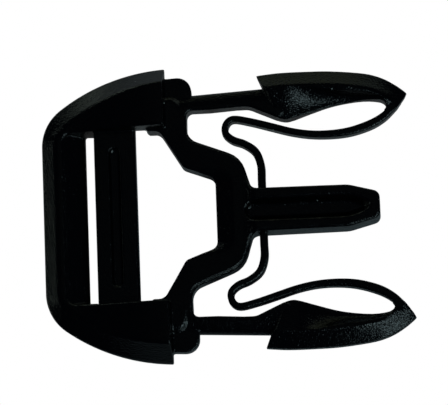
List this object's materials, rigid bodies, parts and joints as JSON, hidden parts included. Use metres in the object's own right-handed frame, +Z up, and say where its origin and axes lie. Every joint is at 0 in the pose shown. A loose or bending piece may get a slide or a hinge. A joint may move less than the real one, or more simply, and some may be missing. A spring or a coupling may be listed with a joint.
{
  "type": "side release buckle plug half",
  "caption": "Black moulded plug half of a side release buckle with a slotted webbing bar, guide tongue, sprung prongs and S-shaped return springs.",
  "frame": {"origin": "on the surface that the buckle lies on, under the middle of its bounding box", "axes": "+X from the head to the tips of the prongs, the way the plug goes into its socket; +Y across the buckle towards the left prong; +Z up out of the face that the picture shows"},
  "size_m": [0.056, 0.0458, 0.0078],
  "materials": {
    "moulding": "black acetal with a fine spark-eroded grain, satin on the flat faces"
  },
  "bodies": {
    "frame": {"frame": "moulding", "spring_left": "moulding", "spring_right": "moulding"},
    "prong_left": {"prong_left": "moulding"},
    "prong_right": {"prong_right": "moulding"}
  },
  "joints": [
    {"name": "squeeze_left", "type": "hinge", "parent": "frame", "child": "prong_left", "pos_m": [-0.0035, 0.01735, 0.0039], "axis": [0, 0, -1], "range_deg": [0, 9], "stiffness_Nm_per_rad": 1.5, "deforming": ["spring_left"]},
    {"name": "squeeze_right", "type": "hinge", "parent": "frame", "child": "prong_right", "pos_m": [-0.0035, -0.01735, 0.0039], "axis": [0, 0, 1], "range_deg": [0, 9], "stiffness_Nm_per_rad": 1.5, "deforming": ["spring_right"]}
  ]
}
